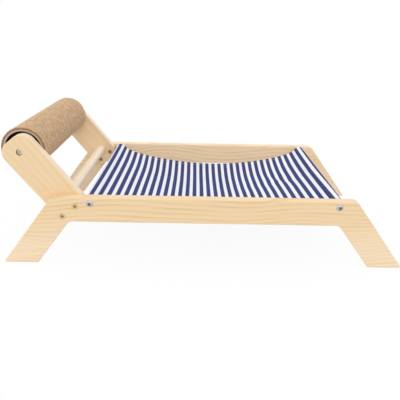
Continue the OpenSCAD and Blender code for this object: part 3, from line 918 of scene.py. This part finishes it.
class ClothLine:
    """Centre line of the sling in the XZ plane, from the head hem's end to the foot hem's end."""

    sag_steps = 800
    sleeve_steps = 200

    def __init__(self, cloth):
        self.cloth = cloth
        head, foot = middle("head_sling_rod").xz, middle("foot_sling_rod").xz
        low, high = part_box("head_sling_rod")
        self.sleeve = (high.z - low.z) / 2 + cloth.ease + cloth.thickness / 2
        self.layer = cloth.thickness + cloth.ease
        self.lowest = Vector((cloth.sag_fore, head.y - cloth.sag_depth))
        self.dish = (head.x + self.sleeve, foot.x - self.sleeve)
        self.edge = abs(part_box("left_side_frame")[1].y) - cloth.side_gap
        self.around = cloth.hem_tail + self.sleeve * (1.5 * math.pi - cloth.leave)
        self.crown = cloth.hem_tail + self.sleeve * math.pi
        head_half, head_hem = self.half(head, 1)
        foot_half, foot_hem = self.half(foot, -1)
        self.points = np.vstack([head_half, foot_half[-2::-1]])
        self.run = lengths_along(self.points)
        self.hems = (head_hem, self.run[-1] - foot_hem)

    def half(self, rod, inward):
        """From a hem's end, round its rod and down to the lowest line, and the length to above that end."""
        cloth = self.cloth
        level = Vector((inward * math.cos(cloth.leave), math.sin(cloth.leave)))
        start = rod + self.sleeve * level
        leave = Vector((inward * math.sin(cloth.leave), -math.cos(cloth.leave)))
        flat = self.lowest - Vector((inward * cloth.sag_flat, 0))
        steps = np.linspace(0, 1, self.sag_steps)
        sag = bezier([start, start + leave * cloth.lead, flat, self.lowest], steps)
        ways = np.gradient(sag, axis=0)
        ways /= np.linalg.norm(ways, axis=1)[:, None]
        run = lengths_along(sag)
        seam = run[np.argmax(sag[:, 1] < rod.y - self.sleeve + self.layer)]
        under = (run >= seam) & (run <= seam + cloth.hem_tail)
        below = inward * self.layer * np.stack([ways[:, 1], -ways[:, 0]], axis=1)
        turn = np.linspace(-math.pi / 2, cloth.leave - math.tau, self.sleeve_steps)[:, None]
        sleeve = np.array(rod) + self.sleeve * np.hstack([inward * np.cos(turn), np.sin(turn)])
        before = np.vstack([(sag + below)[under][::-1], sleeve])
        return np.vstack([before, sag[1:]]), lengths_along(before)[-1] + seam + cloth.hem_tail

    def at(self, run):
        """Points at those lengths along the line."""
        return np.stack([np.interp(run, self.run, self.points[:, k]) for k in (0, 1)], axis=-1)

    def way_up(self, run):
        """Unit directions out of the cloth's upper face at those lengths."""
        step = 0.5 * MM
        way = self.at(run + step) - self.at(run - step)
        way /= np.linalg.norm(way, axis=-1)[..., None]
        return np.stack([-way[..., 1], way[..., 0]], axis=-1)

    def place(self, run, across, lift=0.0):
        """Points of the cloth at a length along it and a share across it, lifted off its middle layer."""
        run, across, lift = np.broadcast_arrays(run, across, lift)
        slid = run + self.cloth.slide * (1 - across ** 2) * np.sin(math.tau * run / self.run[-1])
        flat = self.at(slid) + self.way_up(slid) * lift[..., None]
        drop = self.drop(flat[..., 0], across)
        return np.stack([flat[..., 0], across * self.edge, flat[..., 1] - drop], axis=-1)

    def woven(self, run, across=0.0):
        """Lengths on the woven stripes, which crowd near the head rod and lie askew on the foot rod."""
        cloth = self.cloth
        past = np.maximum(run - self.around, 0)
        before = np.maximum(self.run[-1] - self.crown - run, 0)
        askew = cloth.skew * np.maximum(-across, 0) * np.exp(-before / cloth.skew_run)
        return run - cloth.crowd * np.exp(-past / cloth.crowd_run) - askew

    def drop(self, x, across):
        """Drop of the loose cloth below its centre line, none at the sleeves."""
        cloth = self.cloth
        start, end = self.dish
        along = (2 * x - start - end) / (end - start)
        free = np.clip(1 - along ** 4, 0, 1)
        hollow = cloth.dip * np.exp(-((across - cloth.dip_place) / cloth.dip_width) ** 2)
        # The left half's rise grows from head to foot, quickly at mid-length
        least = cloth.lift_least
        foot = (1 + least) / 2 + (1 - least) / 2 * np.tanh(3 * along)
        rise = cloth.lift * foot * np.tanh(2 * np.minimum(across, 0))
        pull = cloth.pull * np.maximum(across, 0) ** 2
        return free * (hollow + rise - pull) + self.crease(x, across * self.edge)

    def crease(self, x, y):
        """A soft slanting crease in the foot half: low on its right side and as high on its left."""
        cloth = self.cloth
        fore, right = x - cloth.crease_x, y - cloth.crease_y
        cos, sin = math.cos(cloth.crease_turn), math.sin(cloth.crease_turn)
        along = (fore * cos - right * sin) / cloth.crease_run
        off = (fore * sin + right * cos) / cloth.crease_width
        return cloth.crease_depth * off * np.exp((1 - off ** 2) / 2 - along ** 2)


class HAMMOCK_OT_sling(bpy.types.Operator):
    """Sew the striped sling round its rods and let it sag"""

    bl_idname = "hammock.sling"
    bl_label = "Sling"

    def execute(self, context):
        cloth = context.scene.hammock_cloth
        line = ClothLine(cloth)
        total = line.run[-1]
        fabric = canvas("striped cotton canvas")
        undyed = context.scene.hammock_colours.canvas_white
        thread = speckled("cotton sewing thread", undyed, 0.4 * MM, 0.1, 0.9)
        finish = ("striped_canvas", "frame")
        sling = self.strip("sling_cloth", line, cloth.rows, cloth.columns, (0, total), (-1, 1), 0)
        complete(sling, fabric, *finish, "sling_fabric", smooth=60)
        hem = cloth.side_hem / line.edge
        hems = [self.strip(f"{side}_side_hem", line, cloth.rows // 2, 4, line.hems,
                           sorted((sign, sign * (1 - hem))), -line.layer) for side, sign in SIDES.items()]
        for piece in hems:
            complete(piece, fabric, *finish, smooth=60)
        sewing = self.sew(line, hem)
        complete(sewing, thread, *finish, smooth=60)
        return {"FINISHED"}

    def strip(self, name, line, rows, columns, run, across, lift):
        """A strip of cloth laid on the line between two lengths and two shares across."""
        piece, share = grid(name, rows, columns)
        lengths = run[0] + (run[1] - run[0]) * share[:, 0]
        shares = across[0] + (across[1] - across[0]) * share[:, 1]
        woven = np.stack([line.woven(lengths, shares), (shares + 1) * line.edge], axis=1)
        lay(piece, line.place(lengths, shares, lift), woven)
        modify(piece, "SOLIDIFY", thickness=line.cloth.thickness, offset=0)
        return piece

    def sew(self, line, hem):
        """Rows of stitches on both faces: one along each side hem and two along each sleeve's hem."""
        cloth = line.cloth
        top = cloth.thickness / 2
        lengths = np.linspace(*line.hems, 300)
        shares = np.linspace(-1 + hem, 1 - hem, 200)
        rows = []
        for lift in (top, -line.layer - top):
            for sign in SIDES.values():
                path = line.place(lengths, sign * (1 - cloth.hem_stitch * hem), lift)
                rows.append(self.stitches(path, cloth))
            for end, inward in zip(line.hems, (1, -1)):
                # The seam is sewn along the white stripe nearest to the middle of the hem
                seam = end - inward * cloth.hem_tail / 2
                stripes = (line.woven(seam) - cloth.first_stripe) / cloth.stripe_pitch
                white = seam + (math.floor(stripes) + 0.5 - stripes) * cloth.stripe_pitch
                for off in (-cloth.seam_gap / 2, cloth.seam_gap / 2):
                    rows.append(self.stitches(line.place(white + off, shares, lift), cloth))
        return joined("sling_stitching", rows)

    def stitches(self, path, cloth):
        """A row of stitches: one stitch, repeated by an array and bent along a path."""
        curve = bpy.data.curves.new("seam", "CURVE")
        curve.dimensions = "3D"
        spline = curve.splines.new("POLY")
        spline.points.add(len(path) - 1)
        spline.points.foreach_set("co", np.hstack([path, np.ones((len(path), 1))]).ravel())
        seam = bpy.data.objects.new("seam", curve)
        bpy.context.collection.objects.link(seam)
        clear_selection()
        bpy.ops.mesh.primitive_uv_sphere_add(
            segments=6, ring_count=5, location=(cloth.stitch_step / 2, 0, 0), rotation=(0, math.pi / 2, 0),
            scale=(cloth.yarn / 2, cloth.yarn / 2, cloth.stitch / 2))
        row = named("stitches")
        number = int(lengths_along(path)[-1] / cloth.stitch_step)
        modify(row, "ARRAY", count=number, use_relative_offset=False,
               use_constant_offset=True, constant_offset_displace=(cloth.stitch_step, 0, 0))
        modify(row, "CURVE", object=seam, deform_axis="POS_X")
        bpy.data.objects.remove(seam)
        return row


# Roller

def round_node(node):
    """Axis, radius and length of a round node that lies along Y."""
    low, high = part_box(node)
    return (low + high) / 2, (high.x - low.x) / 2, high.y - low.y


class HAMMOCK_OT_roller(bpy.types.Operator):
    """Wrap the roller in woven sisal and finish its tube and discs"""

    bl_idname = "hammock.roller"
    bl_label = "Roller"

    def execute(self, context):
        roller = context.scene.hammock_roller
        self.wrap(roller)
        self.tube(roller)
        # The discs' near-black tone is painted shade
        ply = speckled("black-stained plywood", context.scene.hammock_colours.plywood, 3 * MM, 0.15, 0.7)
        for side in SIDES:
            dress(f"roller_{side}_disc", ply)
        return {"FINISHED"}

    def tube(self, roller):
        """A wound tube with softened ends."""
        axis, radius, _ = round_node("roller_core_tube")
        tube = cylinder("kraft_tube", "roller_core_tube", 96, "NOTHING")
        modify(tube, "SOLIDIFY", thickness=roller.tube_wall, offset=-1)
        soften(tube, 0.4 * MM)
        board = kraft("wound kraft board", axis, radius - roller.tube_wall)
        complete(tube, board, "kraft_board", "roller", "roller_core_tube")

    def wrap(self, roller):
        """A mat of staggered yarn bumps round the tube, closed at its ends and inside."""
        axis, radius, width = round_node("sisal_wrap")
        _, core, _ = round_node("roller_core_tube")
        rows, yarns = roller.yarn_rows, roller.yarns_round
        faces_round, faces_along = 6, 4
        mat, share = grid("sisal_mat", yarns * faces_round, rows * faces_along)
        row = share[:, 1] * rows
        stagger = np.floor(np.clip(row, 0, rows - 1e-6)) % 2 / 2
        yarn = share[:, 0] * yarns + stagger
        bump = np.sqrt(np.abs(np.sin(math.pi * yarn)))
        # Each bump of yarn has its own height, and so its own painted shade
        heights = np.random.default_rng(roller.seed).uniform(roller.least_bump, 1, (rows + 1, yarns))
        own = heights[np.floor(row).astype(int), np.floor(yarn).astype(int) % yarns]
        height = own * np.sqrt(np.abs(np.sin(math.pi * row))) * (roller.saddle + (1 - roller.saddle) * bump)
        out = radius - roller.relief * (1 - height)
        turn = math.tau * share[:, 0]
        places = np.stack([axis.x + out * np.cos(turn), axis.y + width * (share[:, 1] - 0.5),
                           axis.z + out * np.sin(turn)], axis=1)
        lay(mat, places, share * (math.tau * radius, width))
        # The cut ends get painted shade, as the gaps do
        ends = np.abs(share[:, 1] - 0.5) > 0.4999
        shade = np.where(ends, roller.cut_end_shade, height).astype(np.float32)
        mat.data.attributes.new("yarn_height", "FLOAT", "POINT").data.foreach_set("value", shade)
        bpy.ops.object.mode_set(mode="EDIT")
        bpy.ops.mesh.select_all(action="SELECT")
        bpy.ops.mesh.remove_doubles(threshold=0.01 * MM)
        choose(mat, "EDGE", lambda edge: edge.is_boundary)
        bpy.ops.mesh.extrude_edges_move()
        shrink = core / radius
        bpy.ops.transform.resize(value=(shrink, 1, shrink), center_override=axis)
        bpy.ops.mesh.bridge_edge_loops()
        face_out()
        complete(mat, sisal("woven sisal"), "woven_sisal", "roller", "sisal_wrap", smooth=75)


# Bolts

class HAMMOCK_OT_bolts(bpy.types.Operator):
    """Turn the bolts and screws, set them in and finish the inserts"""

    bl_idname = "hammock.bolts"
    bl_label = "Bolts"

    def execute(self, context):
        colours = context.scene.hammock_colours
        bolts = context.scene.hammock_bolts
        screws = arm_screws(context.scene.hammock_boards)
        zinc = plated("zinc plated steel", colours.zinc, colours.zinc_oil_and_shade, 0.6)
        # The axle bolts' warm pale tint is a painted reflection of the wooden recess round them
        dull = plated("dulled zinc steel", colours.zinc_with_wood_reflection, colours.bronze_oil_and_shade, 0.5)
        bronze = plated("bronze plated steel", colours.bronze, colours.bronze_oil_and_shade, 0.45)
        insert = plated("dull plated inserts", colours.insert, colours.bronze_oil_and_shade, 0.5)
        arm_inner, arm_outer = faces("right_head_arm")
        frame_inner, frame_outer = faces("right_side_frame")
        reach = bolts.rod_insert - bolts.thread_spare
        # The rods' bolts lie on the side frames, with domed heads
        shank = frame_outer - frame_inner + reach
        button = self.bolt("button", bolts, shank, self.dome(bolts), bolts.button_socket_shade)
        for end in ("head", "foot"):
            seats = self.seats([middle(f"{end}_sling_rod").xz], frame_outer)
            pair = set_in(button, f"{end}_button_bolts", seats)
            complete(pair, zinc, "zinc_steel", "frame", f"{end}_rod_bolts")
        # The arms' screws lie flush in the side frames
        seat = frame_outer - bolts.flat_height
        rim = bolts.flat_width / 2
        head = [(bolts.flat_height - bolts.edge, rim), (bolts.flat_height, rim - bolts.edge)]
        flat = self.bolt("flat", bolts, seat - arm_inner - bolts.thread_spare, head, bolts.flat_socket_shade)
        for side, sign in SIDES.items():
            pair = set_in(flat, f"{side}_flat_screws", self.seats(screws, seat, [sign]))
            complete(pair, bronze, "bronzed_steel", "frame", f"{side}_arm_screws")
        # The axle's bolts are sunk in the arms
        seat = arm_outer - bolts.cap_sink - bolts.cap_height
        rim = bolts.cap_width / 2
        head = [(0, rim), (bolts.cap_height - bolts.edge, rim), (bolts.cap_height, rim - bolts.edge)]
        cap = self.bolt("cap", bolts, seat - arm_inner + reach, head, bolts.cap_socket_shade)
        pair = set_in(cap, "axle_cap_bolts", self.seats([middle("axle_bolts").xz], seat))
        complete(pair, dull, "zinc_steel", "frame", "axle_bolts")
        for template in (button, flat, cap):
            bpy.data.objects.remove(template)
        for place in ("head_rod", "foot_rod", "axle", "left_arm", "right_arm"):
            dress(f"{place}_inserts", insert)
        return {"FINISHED"}

    def seats(self, points, seat, signs=(-1, 1)):
        """Places of bolts at points of the XZ plane, on the sides of the bed that signs name."""
        return [(Vector((at.x, sign * seat, at.y)), sign) for sign in signs for at in points]

    def dome(self, bolts, steps=8):
        """Rings of a domed head, from its rim to the flat round its socket."""
        rim, height = bolts.button_width / 2, bolts.button_height
        ball = (rim ** 2 + height ** 2) / (2 * height)
        levels = [height * (1 - (1 - step / steps) ** 2) for step in range(steps)]
        return [(level, math.sqrt(ball ** 2 - (level + ball - height) ** 2)) for level in levels]

    def bolt(self, name, bolts, shank, head, oil):
        """A bolt on the Z axis with its seat at zero, its darkened shank below and a hex socket in its head,
        with painted shade in the socket.
        """
        core = bolts.thread / 2
        chamfer = 3 * bolts.edge
        bolt = turned(name, [(-shank, core - chamfer), (chamfer - shank, core), (0, core)] + head)
        top = head[-1][0]
        corner = bolts.hex_socket / 2 / math.cos(math.pi / 6)
        clear_selection()
        bpy.ops.mesh.primitive_cylinder_add(vertices=6, radius=corner, depth=2 * bolts.hex_depth,
                                            location=(0, 0, top))
        cut_away(bolt, named("socket_cut"))
        activate(bolt)
        choose(bolt, "EDGE", lambda edge: edge.calc_face_angle(0) > math.radians(50) and all(
            v.co.xy.length < 1.1 * corner and v.co.z > top - bolts.hex_depth / 2 for v in edge.verts))
        bpy.ops.mesh.bevel(offset=bolts.edge, segments=2)
        bpy.ops.object.mode_set(mode="OBJECT")
        # Painted shade in the socket; on the shank, an oily tint and painted shade
        oil_and_shade_mask = bolt.data.attributes.new("oil", "FLOAT", "FACE")
        for face, mark in zip(bolt.data.polygons, oil_and_shade_mask.data):
            deep = top - face.center.z
            socket = face.center.xy.length < corner and 0.5 * bolts.edge < deep < 1.1 * bolts.hex_depth
            mark.value = bolts.thread_oil_and_shade if face.center.z < -bolts.edge else oil * socket
        return bolt


class HAMMOCK_PT_panel(bpy.types.Panel):
    """Steps and sizes of the cat hammock"""

    bl_idname = "HAMMOCK_PT_panel"
    bl_label = "Cat Hammock"
    bl_space_type = "VIEW_3D"
    bl_region_type = "UI"
    bl_category = "Hammock"

    def draw(self, context):
        for step in STEPS:
            self.layout.operator(step.bl_idname)
        for group in GROUPS:
            settings = getattr(context.scene, group)
            for name in settings.bl_rna.properties.keys():
                if name not in ("rna_type", "name"):
                    self.layout.prop(settings, name)


GROUPS = {
    "hammock_boards": HammockBoards,
    "hammock_bolts": HammockBolts,
    "hammock_cloth": HammockCloth,
    "hammock_roller": HammockRoller,
    "hammock_colours": HammockColours,
    "hammock_stage": HammockStage,
}
STEPS = (HAMMOCK_OT_stage, HAMMOCK_OT_side_frames, HAMMOCK_OT_head_arms, HAMMOCK_OT_dowels, HAMMOCK_OT_sling,
         HAMMOCK_OT_roller, HAMMOCK_OT_bolts)
CLASSES = (*GROUPS.values(), *STEPS, HAMMOCK_PT_panel)


def register():
    for made in CLASSES:
        bpy.utils.register_class(made)
    for name, group in GROUPS.items():
        setattr(bpy.types.Scene, name, PointerProperty(type=group))


def unregister():
    for name in GROUPS:
        delattr(bpy.types.Scene, name)
    for made in reversed(CLASSES):
        bpy.utils.unregister_class(made)


def main():
    register()
    bpy.ops.hammock.stage()
    bpy.ops.hammock.side_frames()
    bpy.ops.hammock.head_arms()
    bpy.ops.hammock.dowels()
    bpy.ops.hammock.sling()
    bpy.ops.hammock.roller()
    bpy.ops.hammock.bolts()
    clear_selection()


if __name__ == "__main__":
    main()
